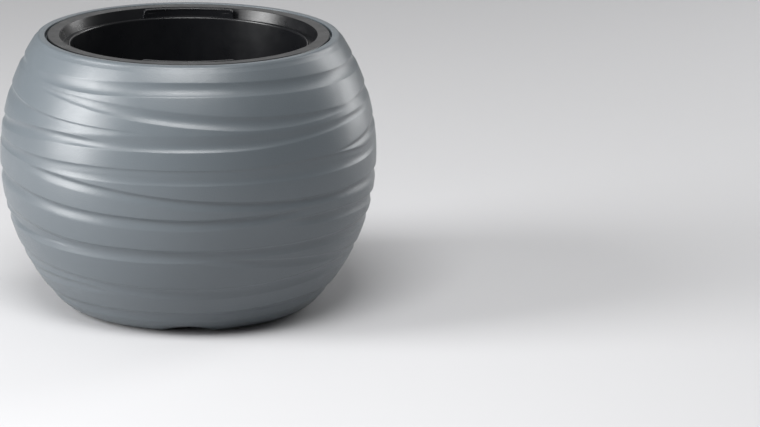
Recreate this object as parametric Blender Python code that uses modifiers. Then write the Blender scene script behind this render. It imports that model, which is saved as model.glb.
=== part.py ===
"""Self-watering planter: a round bowl that holds the water, a planting insert hung
from its rim, two pull-up carrying handles and four felt wicks.

Metres, +Z up. The origin is the centre of the bowl's foot. The rear handle is at +Y
and the front handle at -Y. The insert is shown seated and both handles pushed down.
"""

import math

import bmesh
import bpy
from mathutils import Matrix

# --- Driving dimensions ---------------------------------------------------------

TURN_STEPS = 48                 # facets round every turned piece
MERGE = 0.00005                 # merge distance of the turned pieces
CLEARANCE = 0.0003              # gap between pieces that touch

# Bowl: its side follows an ellipse that is widest at the belly.
BOWL_RADIUS = 0.195
BOWL_HEIGHT = 0.285
BELLY_Z = 0.160
BELLY_HALF_HEIGHT = 0.209
BOWL_WALL = 0.003
BOWL_RINGS = 6                  # rings on the side below the belly, and above it
SIDE_TOP_Z = 0.279              # the side's ellipse ends here, under the lip
LIP_RADIUS = 0.148              # inside of the lip, round the insert's flange
LIP_CROWN = (
    (0.1480, 0.2840),
    (0.1490, 0.2849),
    (0.1515, BOWL_HEIGHT),
    (0.1540, 0.2845),
    (0.1572, 0.2816),
)
SEAT_RADIUS = 0.141             # inner edge of the seat under the flange
SEAT_Z = 0.2788
SEAT_THICKNESS = 0.003

# Foot: the side rounds in to a ring with four shallow arches, so that water can't be
# trapped under it.
BASE_Z = 0.012                  # the side's ellipse starts here, above the rounded base
BASE_POINTS = ((0.1317, 0.0069), (0.1244, 0.0029))
FOOT_OUTER = 0.1156
FOOT_INNER = 0.1056
FOOT_RECESS = 0.003             # height of the underside inside the ring
FLOOR_TOP = 0.007               # inside floor, the bottom of the reservoir
ARCH_COUNT = 4
ARCH_WIDTH = 0.049
ARCH_HEIGHT = 0.0045
ARCH_REACH = 0.132              # outer end of the arches' cut

# Planting insert, hung by its flange.
INSERT_TOP = 0.2848
INSERT_HEIGHT = 0.184
INSERT_WALL = 0.0022
FLANGE_OUTER = 0.1458
FLANGE_INNER = 0.1331
FLANGE_DISH = 0.0003            # the flange falls this much towards its middle
FLANGE_SKIRT = 0.0057           # turned-down edge, which stands on the seat
LEDGE_DEPTH = 0.011             # below the flange
LEDGE_OUTER = 0.1302
BEAD_RADIUS = 0.1230            # round bead between the ledge and the wall
BEAD_HALF_WIDTH = 0.0014
BEAD_HEIGHT = 0.0018
WALL_TOP_RADIUS = 0.1238        # outside of the wall under the ledge
WALL_LOW_RADIUS = 0.1127        # outside of the wall at the shoulder
CUP_TOP_RADIUS = 0.102          # outside of the narrower lower cup
CUP_LOW_RADIUS = 0.097
CUP_HEIGHT = 0.037
SHOULDER_ROUND = 0.009
CUP_ROUND = 0.004

# Ribs under the ledge, at 30, 90 and 150 degrees from the handles' axis.
RIB_COUNT = 6
RIB_THICKNESS = 0.002
RIB_HEIGHT = 0.021
RIB_ROOT_HEIGHT = 0.005         # height of its full-width root
RIB_TAPER_END = 0.009
RIB_ROOT_RADIUS = 0.1312
RIB_STRIP_RADIUS = 0.1272

# Wicks, hung through slots in the insert's floor, and the drain holes between them.
WICK_COUNT = 4
WICK_RADIUS = 0.075
WICK_WIDTH = 0.020
WICK_THICKNESS = 0.0024
WICK_HEAD_WIDTH = 0.030         # wider than the slot, so that it can't slip through
WICK_HEAD_HEIGHT = 0.030
WICK_TIP_Z = 0.012
WICK_SLOT_PLAY = 0.0006
DRAIN_COUNT = 8
DRAIN_RADIUS = 0.003
DRAIN_RING = 0.045

# Handles: a grip that lies on the ledge and two legs through slots in the ledge.
GRIP_HEIGHT = 0.0102
GRIP_TOP_HALF_CHORD = 0.0470
GRIP_LOW_HALF_CHORD = 0.0488    # the ends flare out towards the ledge
GRIP_INNER = 0.1256
GRIP_OUTER = 0.1298
GRIP_EDGE_ROUND = 0.0008
GRIP_ARC_POINTS = 11
LEG_ANGLE = math.radians(18.8)
LEG_WIDTH = 0.0097
LEG_INNER = 0.1259
LEG_OUTER = 0.1295
LEG_SLOT_PLAY = 0.0003
HANDLE_TRAVEL = 0.024
BARB_WIDTH = 0.017              # wider than the slot, so that the handle stays in
BARB_HEIGHT = 0.010
BARB_TIP_WIDTH = 0.003

# Values that follow from them.
INSERT_BOTTOM = INSERT_TOP - INSERT_HEIGHT
LEDGE_Z = INSERT_TOP - LEDGE_DEPTH
LEDGE_UNDERSIDE = LEDGE_Z - INSERT_WALL
CUP_TOP_Z = INSERT_BOTTOM + CUP_HEIGHT
INSERT_FLOOR = INSERT_BOTTOM + INSERT_WALL
LEG_RADIUS = (LEG_INNER + LEG_OUTER) / 2
BARB_TOP_Z = LEDGE_UNDERSIDE - CLEARANCE - HANDLE_TRAVEL

QUARTER = math.pi / 2


# --- Scene, materials and small helpers -----------------------------------------


def clear_scene():
    """Remove every object that the file starts with."""
    for obj in list(bpy.data.objects):
        bpy.data.objects.remove(obj, do_unlink=True)


def new_collection(name):
    collection = bpy.data.collections.new(name)
    bpy.context.scene.collection.children.link(collection)
    return collection


def new_material(name, colour, roughness, metallic=0.0):
    material = bpy.data.materials.new(name)
    material.use_nodes = True
    shader = material.node_tree.nodes["Principled BSDF"]
    shader.inputs["Base Color"].default_value = (*colour, 1.0)
    shader.inputs["Roughness"].default_value = roughness
    shader.inputs["Metallic"].default_value = metallic
    material.diffuse_color = (*colour, 1.0)
    return material


def new_object(name, mesh, collection, material=None):
    obj = bpy.data.objects.new(name, mesh)
    collection.objects.link(obj)
    if material is not None:
        mesh.materials.append(material)
    return obj


def arc(centre, radius, start, end, steps):
    """Points on an arc in the plane of a profile or an outline, angles in radians."""
    points = []
    for step in range(steps + 1):
        angle = start + (end - start) * step / steps
        points.append((centre[0] + radius * math.cos(angle), centre[1] + radius * math.sin(angle)))
    return points


def turned(name, profile, collection, material):
    """A solid turned round Z from a profile of (radius, height) points.

    The profile starts and ends on the axis and runs down the outer side.
    """
    mesh = bpy.data.meshes.new(name)
    vertices = [(radius, 0.0, height) for radius, height in profile]
    edges = [(i, i + 1) for i in range(len(profile) - 1)]
    mesh.from_pydata(vertices, edges, [])
    obj = new_object(name, mesh, collection, material)
    screw = obj.modifiers.new("turn", "SCREW")
    screw.axis = "Z"
    screw.angle = 2 * math.pi
    screw.steps = TURN_STEPS
    screw.render_steps = TURN_STEPS
    screw.use_merge_vertices = True
    screw.merge_threshold = MERGE
    screw.use_smooth_shade = True
    return obj


def add_prism(mesh, outline, depth, placement):
    """Extrude a flat outline by depth along its own Z and put it where placement says."""
    corners = [mesh.verts.new((x, y, -depth / 2)) for x, y in outline]
    face = mesh.faces.new(corners)
    result = bmesh.ops.extrude_face_region(mesh, geom=[face])
    top = [item for item in result["geom"] if isinstance(item, bmesh.types.BMVert)]
    bmesh.ops.translate(mesh, verts=top, vec=(0, 0, depth))
    bmesh.ops.transform(mesh, matrix=placement, verts=corners + top)


def add_box(mesh, size, placement):
    matrix = placement @ Matrix.Diagonal((*size, 1.0))
    bmesh.ops.create_cube(mesh, size=1.0, matrix=matrix)


def add_cylinder(mesh, radius, depth, sides, placement):
    bmesh.ops.create_cone(
        mesh,
        cap_ends=True,
        segments=sides,
        radius1=radius,
        radius2=radius,
        depth=depth,
        matrix=placement,
    )


def finish_mesh(bm, name):
    bmesh.ops.recalc_face_normals(bm, faces=bm.faces)
    mesh = bpy.data.meshes.new(name)
    bm.to_mesh(mesh)
    bm.free()
    return mesh


def round_z(angle):
    """Rotation about Z by an angle measured from +Y, clockwise seen from above."""
    return Matrix.Rotation(-angle, 4, "Z")


def add_tool(name, bm, collection):
    """A helper solid that cuts or joins another piece."""
    tool = new_object(name, finish_mesh(bm, name), collection)
    tool.hide_render = True
    tool.display_type = "WIRE"
    return tool


def combine(obj, tool, operation):
    modifier = obj.modifiers.new(tool.name, "BOOLEAN")
    modifier.operation = operation
    modifier.solver = "EXACT"
    modifier.object = tool


def shade_round(mesh):
    mesh.shade_smooth()
    mesh.set_sharp_from_angle(angle=math.radians(35))


# --- Bowl -------------------------------------------------------------------------


def bowl_radius(height):
    """Outside radius of the bowl's side, an ellipse between the base and the lip."""
    ratio = (height - BELLY_Z) / BELLY_HALF_HEIGHT
    return BOWL_RADIUS * math.sqrt(1 - ratio * ratio)


def side_heights(low, high):
    """Heights of the side's rings, evenly turned round the ellipse, one at the belly."""
    heights = []
    for ring in range(-BOWL_RINGS, BOWL_RINGS + 1):
        end = high if ring > 0 else low
        turn = math.asin((end - BELLY_Z) / BELLY_HALF_HEIGHT) * abs(ring) / BOWL_RINGS
        heights.append(BELLY_Z + BELLY_HALF_HEIGHT * math.sin(turn))
    return heights


def bowl_profile():
    inner_low = FLOOR_TOP + 2 * BOWL_WALL
    inner_high = SEAT_Z - SEAT_THICKNESS
    profile = [(0.0, FLOOR_TOP)]
    profile.append((bowl_radius(FLOOR_TOP) - 2 * BOWL_WALL, FLOOR_TOP))
    for height in side_heights(inner_low, inner_high):
        profile.append((bowl_radius(height) - BOWL_WALL, height))
    profile.append((SEAT_RADIUS, inner_high))
    profile.append((SEAT_RADIUS, SEAT_Z))
    profile.append((LIP_RADIUS, SEAT_Z))
    profile += LIP_CROWN
    for height in reversed(side_heights(BASE_Z, SIDE_TOP_Z)):
        profile.append((bowl_radius(height), height))
    profile += BASE_POINTS
    profile.append((FOOT_OUTER, 0.0))
    profile.append((FOOT_INNER, 0.0))
    profile.append((FOOT_INNER, FOOT_RECESS))
    profile.append((0.0, FOOT_RECESS))
    return profile


def foot_arches(collection):
    """Flat round-topped notches through the foot ring, one on each side."""
    radius = (ARCH_WIDTH ** 2 / 4 + ARCH_HEIGHT ** 2) / (2 * ARCH_HEIGHT)
    inner_end = FOOT_INNER - CLEARANCE
    length = ARCH_REACH - inner_end
    middle = (ARCH_REACH + inner_end) / 2
    bm = bmesh.new()
    for index in range(ARCH_COUNT):
        place = Matrix.Translation((0, middle, ARCH_HEIGHT - radius))
        lying = Matrix.Rotation(QUARTER, 4, "X")
        add_cylinder(bm, radius, length, 96, round_z(2 * math.pi * index / ARCH_COUNT) @ place @ lying)
    return add_tool("foot_arches", bm, collection)


def outer_bowl(parts, tools):
    material = new_material("slate_plastic", (0.18, 0.21, 0.24), 0.42)
    bowl = turned("outer_bowl", bowl_profile(), parts, material)
    combine(bowl, foot_arches(tools), "DIFFERENCE")
    return bowl


# --- Planting insert ----------------------------------------------------------------


def insert_profile():
    wall = INSERT_WALL
    flange_low = INSERT_TOP - FLANGE_DISH
    cup_floor_round = arc(
        (CUP_LOW_RADIUS - wall - CUP_ROUND / 2, INSERT_FLOOR + CUP_ROUND / 2),
        CUP_ROUND / 2, -QUARTER, 0.0, 2,
    )
    shoulder_in = arc(
        (WALL_LOW_RADIUS - SHOULDER_ROUND, CUP_TOP_Z + SHOULDER_ROUND),
        SHOULDER_ROUND - wall, -QUARTER, 0.0, 4,
    )
    shoulder_out = arc(
        (WALL_LOW_RADIUS - SHOULDER_ROUND, CUP_TOP_Z + SHOULDER_ROUND),
        SHOULDER_ROUND, 0.0, -QUARTER, 4,
    )
    bead = arc((BEAD_RADIUS, LEDGE_Z), 1.0, math.pi, 0.0, 4)

    profile = [(0.0, INSERT_FLOOR)]
    profile += cup_floor_round
    profile.append((CUP_TOP_RADIUS - wall, CUP_TOP_Z + wall))
    profile += shoulder_in
    for x, y in bead:
        across = (x - BEAD_RADIUS) * BEAD_HALF_WIDTH
        up = (y - LEDGE_Z) * BEAD_HEIGHT
        profile.append((BEAD_RADIUS + across, LEDGE_Z + up))
    profile.append((LEDGE_OUTER, LEDGE_Z))
    profile.append((FLANGE_INNER - 0.0006, flange_low - 0.0006))
    profile.append((FLANGE_INNER, flange_low))
    profile += arc((FLANGE_OUTER - 0.001, INSERT_TOP - 0.001), 0.001, QUARTER, 0.0, 2)
    profile.append((FLANGE_OUTER, INSERT_TOP - FLANGE_SKIRT))
    profile.append((FLANGE_OUTER - wall, INSERT_TOP - FLANGE_SKIRT))
    profile.append((FLANGE_OUTER - wall, INSERT_TOP - wall))
    profile.append((FLANGE_INNER + wall, flange_low - wall))
    profile.append((LEDGE_OUTER + wall, LEDGE_UNDERSIDE))
    profile.append((WALL_TOP_RADIUS, LEDGE_UNDERSIDE))
    profile += shoulder_out
    profile.append((CUP_TOP_RADIUS, CUP_TOP_Z))
    profile += arc(
        (CUP_LOW_RADIUS - CUP_ROUND, INSERT_BOTTOM + CUP_ROUND), CUP_ROUND, 0.0, -QUARTER, 3
    )
    profile.append((0.0, INSERT_BOTTOM))
    return profile


def ledge_ribs(collection):
    """Upright ribs that tie the ledge to the wall: a wide root and a narrow strip."""
    buried = WALL_TOP_RADIUS - INSERT_WALL
    outline = [
        (buried, CLEARANCE + INSERT_WALL / 2),
        (RIB_ROOT_RADIUS, CLEARANCE + INSERT_WALL / 2),
        (RIB_ROOT_RADIUS, -RIB_ROOT_HEIGHT),
        (RIB_STRIP_RADIUS, -RIB_TAPER_END),
        (RIB_STRIP_RADIUS, -RIB_HEIGHT + 0.0015),
        (RIB_STRIP_RADIUS - 0.0015, -RIB_HEIGHT),
        (buried, -RIB_HEIGHT),
    ]
    upright = Matrix.Rotation(QUARTER, 4, "X")
    bm = bmesh.new()
    for index in range(RIB_COUNT):
        angle = 2 * math.pi * (index + 0.5) / RIB_COUNT
        turn = round_z(angle - QUARTER)
        place = Matrix.Translation((0, 0, LEDGE_UNDERSIDE))
        add_prism(bm, outline, RIB_THICKNESS, turn @ place @ upright)
    return add_tool("ledge_ribs", bm, collection)


def leg_slots(collection):
    """Slots in the ledge for the four legs of the handles."""
    size = (
        LEG_WIDTH + 2 * LEG_SLOT_PLAY,
        LEG_OUTER - LEG_INNER + 2 * LEG_SLOT_PLAY,
        3 * INSERT_WALL,
    )
    bm = bmesh.new()
    for handle_angle in (0.0, math.pi):
        for side in (-1, 1):
            turn = round_z(handle_angle + side * LEG_ANGLE)
            place = Matrix.Translation((0, LEG_RADIUS, LEDGE_Z - INSERT_WALL / 2))
            add_box(bm, size, turn @ place)
    return add_tool("leg_slots", bm, collection)


def floor_openings(collection):
    """Wick slots and round drain holes through the insert's floor."""
    depth = 3 * INSERT_WALL
    height = INSERT_BOTTOM + INSERT_WALL / 2
    slot = (WICK_WIDTH + 2 * WICK_SLOT_PLAY, WICK_THICKNESS + 2 * WICK_SLOT_PLAY, depth)
    bm = bmesh.new()
    for index in range(WICK_COUNT):
        turn = round_z(2 * math.pi * index / WICK_COUNT)
        add_box(bm, slot, turn @ Matrix.Translation((0, WICK_RADIUS, height)))
    for index in range(DRAIN_COUNT):
        turn = round_z(2 * math.pi * (index + 0.5) / DRAIN_COUNT)
        place = turn @ Matrix.Translation((0, DRAIN_RING, height))
        add_cylinder(bm, DRAIN_RADIUS, depth, 10, place)
    return add_tool("floor_openings", bm, collection)


def planting_insert(parts, tools):
    material = new_material("black_plastic", (0.022, 0.023, 0.026), 0.4)
    insert = turned("planting_insert", insert_profile(), parts, material)
    combine(insert, ledge_ribs(tools), "UNION")
    combine(insert, leg_slots(tools), "DIFFERENCE")
    combine(insert, floor_openings(tools), "DIFFERENCE")
    return insert


# --- Handles --------------------------------------------------------------------------


def grip_half_chord(height):
    """Half length of the grip at a height above the ledge."""
    share = height / GRIP_HEIGHT
    return GRIP_LOW_HALF_CHORD + (GRIP_TOP_HALF_CHORD - GRIP_LOW_HALF_CHORD) * share


def add_grip(bm):
    """A bar of rounded section, bent to the ledge's radius, with flared ends."""
    edge = GRIP_EDGE_ROUND
    low = CLEARANCE
    high = CLEARANCE + GRIP_HEIGHT
    section = [
        (GRIP_INNER, low),
        (GRIP_OUTER, low),
        (GRIP_OUTER, high - edge),
        (GRIP_OUTER - edge, high),
        (GRIP_INNER + edge, high),
        (GRIP_INNER, high - edge),
    ]
    rings = []
    for step in range(GRIP_ARC_POINTS):
        share = 2 * step / (GRIP_ARC_POINTS - 1) - 1
        end_drop = 0.0022 if abs(share) == 1 else 0.0
        ring = []
        for radius, height in section:
            if height > high - 2 * edge:
                height -= end_drop
            angle = share * math.asin(grip_half_chord(height - low) / LEG_RADIUS)
            x = radius * math.sin(angle)
            y = radius * math.cos(angle)
            ring.append(bm.verts.new((x, y, LEDGE_Z + height)))
        rings.append(ring)
    count = len(section)
    for near, far in zip(rings, rings[1:]):
        for i in range(count):
            j = (i + 1) % count
            bm.faces.new((near[i], near[j], far[j], far[i]))
    bm.faces.new(rings[0])
    bm.faces.new(reversed(rings[-1]))


def add_leg(bm, side):
    """A flat leg that ends in an arrow-shaped barb, pointing down."""
    top = LEDGE_Z + CLEARANCE + GRIP_HEIGHT / 2
    tip = BARB_TOP_Z - BARB_HEIGHT
    outline = [
        (-LEG_WIDTH / 2, top),
        (-LEG_WIDTH / 2, BARB_TOP_Z),
        (-BARB_WIDTH / 2, BARB_TOP_Z),
        (-BARB_WIDTH / 2, BARB_TOP_Z - 0.0015),
        (-BARB_TIP_WIDTH / 2, tip),
        (BARB_TIP_WIDTH / 2, tip),
        (BARB_WIDTH / 2, BARB_TOP_Z - 0.0015),
        (BARB_WIDTH / 2, BARB_TOP_Z),
        (LEG_WIDTH / 2, BARB_TOP_Z),
        (LEG_WIDTH / 2, top),
    ]
    upright = Matrix.Rotation(QUARTER, 4, "X")
    place = Matrix.Translation((0, LEG_RADIUS, 0))
    add_prism(bm, outline, LEG_OUTER - LEG_INNER, round_z(side * LEG_ANGLE) @ place @ upright)


def handle_mesh(tools):
    """Grip and legs joined into one solid, with its origin on the ledge at +Y."""
    bm = bmesh.new()
    add_grip(bm)
    grip = add_tool("handle_grip", bm, tools)
    for name, side in (("handle_leg_left", -1), ("handle_leg_right", 1)):
        bm = bmesh.new()
        add_leg(bm, side)
        combine(grip, add_tool(name, bm, tools), "UNION")
    evaluated = grip.evaluated_get(bpy.context.evaluated_depsgraph_get())
    mesh = bpy.data.meshes.new_from_object(evaluated)
    mesh.name = "carrying_handle"
    mesh.transform(Matrix.Translation((0, -LEG_RADIUS, -LEDGE_Z)))
    for tool in [grip] + [m.object for m in grip.modifiers]:
        bpy.data.objects.remove(tool, do_unlink=True)
    return mesh


def carrying_handles(parts, tools):
    mesh = handle_mesh(tools)
    mesh.materials.clear()
    mesh.materials.append(new_material("handle_plastic", (0.018, 0.019, 0.021), 0.35))
    for name, side in (("handle_rear", 1), ("handle_front", -1)):
        handle = new_object(name, mesh, parts)
        handle.location = (0.0, side * LEG_RADIUS, LEDGE_Z)
        handle.rotation_euler = (0.0, 0.0, 0.0 if side > 0 else math.pi)


# --- Wicks ------------------------------------------------------------------------------


def wick_mesh():
    """A felt strip with a wider head that rests on the insert's floor."""
    shoulder = INSERT_FLOOR + CLEARANCE
    head = shoulder + WICK_HEAD_HEIGHT
    outline = [
        (-WICK_HEAD_WIDTH / 2, head),
        (-WICK_HEAD_WIDTH / 2, shoulder),
        (-WICK_WIDTH / 2, shoulder),
        (-WICK_WIDTH / 2, WICK_TIP_Z),
        (WICK_WIDTH / 2, WICK_TIP_Z),
        (WICK_WIDTH / 2, shoulder),
        (WICK_HEAD_WIDTH / 2, shoulder),
        (WICK_HEAD_WIDTH / 2, head),
    ]
    bm = bmesh.new()
    add_prism(bm, outline, WICK_THICKNESS, Matrix.Rotation(QUARTER, 4, "X"))
    return finish_mesh(bm, "felt_wick")


def felt_wicks(parts):
    mesh = wick_mesh()
    mesh.materials.append(new_material("felt", (0.72, 0.71, 0.68), 0.95))
    for index in range(WICK_COUNT):
        angle = 2 * math.pi * index / WICK_COUNT
        wick = new_object(f"wick_{index + 1}", mesh, parts)
        wick.location = (WICK_RADIUS * math.sin(angle), WICK_RADIUS * math.cos(angle), 0.0)
        wick.rotation_euler = (0.0, 0.0, -angle)


def main():
    clear_scene()
    parts = new_collection("self_watering_planter")
    tools = new_collection("cutters")
    outer_bowl(parts, tools)
    planting_insert(parts, tools)
    carrying_handles(parts, tools)
    felt_wicks(parts)


main()
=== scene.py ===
"""Looks of the self-watering planter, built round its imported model.

A slate bowl with a carved wave relief holds a black lift-out planting insert, which has
two pull-up carrying handles and four felt wicks. Every piece is a class that knows its
own sizes, works out its surfaces with numpy and dresses them with a finish.
"""

import logging
import math
from dataclasses import dataclass
from enum import Enum

import bpy
import numpy as np
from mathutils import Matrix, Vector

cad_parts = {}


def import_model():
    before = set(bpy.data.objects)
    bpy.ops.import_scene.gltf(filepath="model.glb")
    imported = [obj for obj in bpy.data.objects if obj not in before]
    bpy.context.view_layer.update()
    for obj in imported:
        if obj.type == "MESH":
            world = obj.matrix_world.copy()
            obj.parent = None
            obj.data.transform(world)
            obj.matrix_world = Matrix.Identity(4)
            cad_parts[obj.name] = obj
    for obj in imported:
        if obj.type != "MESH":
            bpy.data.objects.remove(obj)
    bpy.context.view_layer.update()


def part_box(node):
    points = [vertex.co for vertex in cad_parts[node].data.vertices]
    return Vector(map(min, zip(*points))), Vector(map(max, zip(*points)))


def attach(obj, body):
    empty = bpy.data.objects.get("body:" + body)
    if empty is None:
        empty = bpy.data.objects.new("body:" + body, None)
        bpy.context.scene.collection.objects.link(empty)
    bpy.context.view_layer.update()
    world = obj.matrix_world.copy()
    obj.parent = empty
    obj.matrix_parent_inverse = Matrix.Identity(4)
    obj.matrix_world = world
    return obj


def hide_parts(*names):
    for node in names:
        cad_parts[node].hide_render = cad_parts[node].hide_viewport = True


LOG = logging.getLogger("planter")
MM = 0.001
STRIP_CREASE_DEG = 38.0

Piece = bpy.types.Object
Node = bpy.types.Node
Material = bpy.types.Material
Colour = tuple[float, float, float]
Pair = tuple[float, float]
Triple = tuple[float, float, float]


class Side(Enum):
    """A handle's side; the value is its turn about the axis in degrees."""

    REAR = 0.0
    FRONT = 180.0


# --- Surfaces ---


@dataclass(frozen=True)
class Surface:
    """A named mesh as plain arrays: corners in metres and faces as corner numbers."""

    name: str
    corners: np.ndarray
    faces: list[tuple[int, ...]]

    def to_object(self, crease_deg: float | None = None) -> Piece:
        """Put the surface into the scene.

        Args:
            crease_deg: edges sharper than this stay creased; None is smooth all over.

        Returns:
            The new object, at the origin and unturned.
        """
        mesh = bpy.data.meshes.new(self.name)
        mesh.from_pydata(self.corners.reshape(-1, 3).tolist(), [], self.faces)
        mesh.validate()
        mesh.shade_smooth()
        if crease_deg is not None:
            mesh.set_sharp_from_angle(angle=math.radians(crease_deg))
        obj = bpy.data.objects.new(self.name, mesh)
        bpy.context.scene.collection.objects.link(obj)
        return obj

    def turned(self, angle_deg: float) -> "Surface":
        """Turn the surface about the vertical axis.

        Args:
            angle_deg: the turn, anticlockwise seen from above.

        Returns:
            The turned surface.
        """
        angle = math.radians(angle_deg)
        cos, sin = math.cos(angle), math.sin(angle)
        turn = np.array([[cos, sin, 0.0], [-sin, cos, 0.0], [0.0, 0.0, 1.0]])
        return Surface(self.name, self.corners @ turn, self.faces)


def points(*axes: np.ndarray | float) -> np.ndarray:
    """Separate coordinates, spread to one shape, as one array of points."""
    return np.stack(np.broadcast_arrays(*axes), axis=-1)


def quads_of_grid(rows: int, columns: int, wrap: bool) -> np.ndarray:
    """Corner numbers of the quads of a grid whose rows follow one another.

    Args:
        rows: number of rows.
        columns: number of corners in a row.
        wrap: whether the last column joins the first.

    Returns:
        Array of quads, each corner, next row, next row and column, next column.
    """
    last = columns if wrap else columns - 1
    row, column = np.meshgrid(np.arange(rows - 1), np.arange(last), indexing="ij")
    here, across = row * columns, (column + 1) % columns
    quads = points(here + column, here + columns + column, here + columns + across, here + across)
    return quads.reshape(-1, 4)


def face_list(*groups: np.ndarray) -> list[tuple[int, ...]]:
    """Arrays of faces as one plain list."""
    return [tuple(face) for group in groups for face in group.tolist()]


def fan(tip: int, first: int, count: int) -> np.ndarray:
    """Triangles from a tip corner to each pair of neighbours on a ring of corners."""
    here = np.arange(count)
    return points(tip, first + here, first + (here + 1) % count)


def turned_surface(name: str, radii: np.ndarray, heights: np.ndarray) -> Surface:
    """A closed turned surface: each row of the grid is a ring of radius r at height z.

    The first and the last row shrink to one corner each on the axis.

    Args:
        name: the piece's name.
        radii: radius of every corner, rows by columns; the rows run down the outer side.
        heights: height of every corner, the same shape.

    Returns:
        The surface, faces pointing out.
    """
    rows, columns = radii.shape
    angles = np.linspace(0.0, 2 * np.pi, columns, endpoint=False)[None, :]
    ring = points(radii * np.cos(angles), radii * np.sin(angles), heights)[1:-1].reshape(-1, 3)
    poles = np.array([[0.0, 0.0, heights[0, 0]], [0.0, 0.0, heights[-1, 0]]])
    quads = quads_of_grid(rows - 2, columns, wrap=True)
    top_fan = fan(len(ring), 0, columns)
    low_fan = fan(len(ring) + 1, (rows - 3) * columns, columns)[:, ::-1]
    return Surface(name, np.concatenate([ring, poles]), face_list(quads, top_fan, low_fan))


def slab_surface(name: str, outline: np.ndarray, thickness: np.ndarray) -> Surface:
    """A flat outline given a thickness: the outline moved half of it either way, and closed.

    Args:
        name: the piece's name.
        outline: corners of the flat outline in space.
        thickness: the vector from one face to the other.

    Returns:
        The closed surface.
    """
    count = len(outline)
    spokes = outline - outline.mean(axis=0)
    winding = float(np.cross(spokes, np.roll(spokes, -1, axis=0)).sum(axis=0) @ thickness)
    ordered = outline if winding > 0 else outline[::-1]
    corners = np.concatenate([ordered + thickness / 2, ordered - thickness / 2])
    lids = [tuple(range(count)), tuple(range(2 * count - 1, count - 1, -1))]
    return Surface(name, corners, face_list(quads_of_grid(2, count, wrap=True)) + lids)


def rectangle(width: float, length: float) -> np.ndarray:
    """Corners of a level rectangle centred on the origin."""
    return np.array([[-1, -1, 0], [1, -1, 0], [1, 1, 0], [-1, 1, 0]]) * np.array([width, length, 0.0]) / 2


def circle(radius: float, sides: int = 20) -> np.ndarray:
    """Corners of a level circle centred on the origin."""
    angles = np.linspace(0.0, 2 * np.pi, sides, endpoint=False)
    return points(radius * np.cos(angles), radius * np.sin(angles), 0.0)


def soften(obj: Piece, width: float, segments: int = 2) -> None:
    """Round an object's sharp edges.

    Args:
        obj: the object.
        width: width of the rounding in metres.
        segments: faces across the rounding.
    """
    bevel = obj.modifiers.new("edge_round", "BEVEL")
    bevel.width = width
    bevel.segments = segments
    bevel.limit_method = "ANGLE"
    bevel.angle_limit = math.radians(35)
    bevel.harden_normals = True


def rounded_path(corners: list[Triple], steps: int = 5, guard: float = 0.35) -> np.ndarray:
    """A profile with rounded corners.

    Each corner (radius from the axis, height, rounding) becomes the arc that touches both
    of its sides, with a guard point just past either end so that flat stretches shade flat.

    Args:
        corners: the profile's corners in metres; a rounding of 0 keeps the corner sharp.
        steps: arc steps per corner.
        guard: distance of the guard points, as a share of the rounding.

    Returns:
        Array of (radius, height) points.
    """
    bends = np.array([corner[:2] for corner in corners])
    path = []
    for index, (_, _, rounding) in enumerate(corners):
        here = bends[index]
        if rounding == 0.0:
            path.append(here[None, :])
            continue
        back = bends[index - 1] - here
        ahead = bends[index + 1] - here
        room = min(np.linalg.norm(back), np.linalg.norm(ahead))
        back = back / np.linalg.norm(back)
        ahead = ahead / np.linalg.norm(ahead)
        half = 0.5 * math.acos(float(np.clip(back @ ahead, -1.0, 1.0)))
        reach = rounding / math.tan(half)
        middle = (back + ahead) / np.linalg.norm(back + ahead)
        centre = here + middle * rounding / math.sin(half)
        start = here + back * reach - centre
        end = here + ahead * reach - centre
        sweep = math.atan2(start[0] * end[1] - start[1] * end[0], float(start @ end))
        turns = np.linspace(0.0, sweep, steps + 1)
        cos, sin = np.cos(turns), np.sin(turns)
        arc = centre + points(start[0] * cos - start[1] * sin, start[0] * sin + start[1] * cos)
        extra = rounding * guard
        if reach + extra < 0.45 * room:
            arc = np.concatenate(
                [(here + back * (reach + extra))[None, :], arc, (here + ahead * (reach + extra))[None, :]]
            )
        path.append(arc)
    return np.concatenate(path)


def smooth_curve(at: np.ndarray, knots_at: np.ndarray, knots: np.ndarray) -> np.ndarray:
    """A smooth curve through knots: cubic pieces whose slopes are the knots' mean slopes.

    Args:
        at: where to read the curve.
        knots_at: rising positions of the knots.
        knots: the curve's values there.

    Returns:
        The curve's values, the shape of at.
    """
    slopes = np.gradient(knots, knots_at)
    index = np.clip(np.searchsorted(knots_at, at) - 1, 0, len(knots_at) - 2)
    span = knots_at[index + 1] - knots_at[index]
    t = np.clip((at - knots_at[index]) / span, 0.0, 1.0)
    rise = knots[index + 1] - knots[index]
    hump = (slopes[index] * span - rise) * (1 - t) + (rise - slopes[index + 1] * span) * t
    return knots[index] + rise * t + t * (1 - t) * hump


def parabola(start: Pair, bend: Pair, end: Pair, shares: np.ndarray) -> np.ndarray:
    """Points at shares 0 to 1 of the parabola that leaves start and meets end towards bend."""
    t = shares[:, None]
    return (1 - t) ** 2 * np.array(start) + 2 * t * (1 - t) * np.array(bend) + t**2 * np.array(end)


def quarter_circle(from_end: np.ndarray, radius: float) -> np.ndarray:
    """How far an edge rounded to a radius has drawn in at a distance from its end."""
    return radius - np.sqrt(np.clip(radius**2 - np.clip(radius - from_end, 0, None) ** 2, 0, None))


def smooth_step(value: np.ndarray) -> np.ndarray:
    """Ease from 0 to 1 as value goes from 0 to 1."""
    t = np.clip(value, 0.0, 1.0)
    return t * t * (3 - 2 * t)


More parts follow.
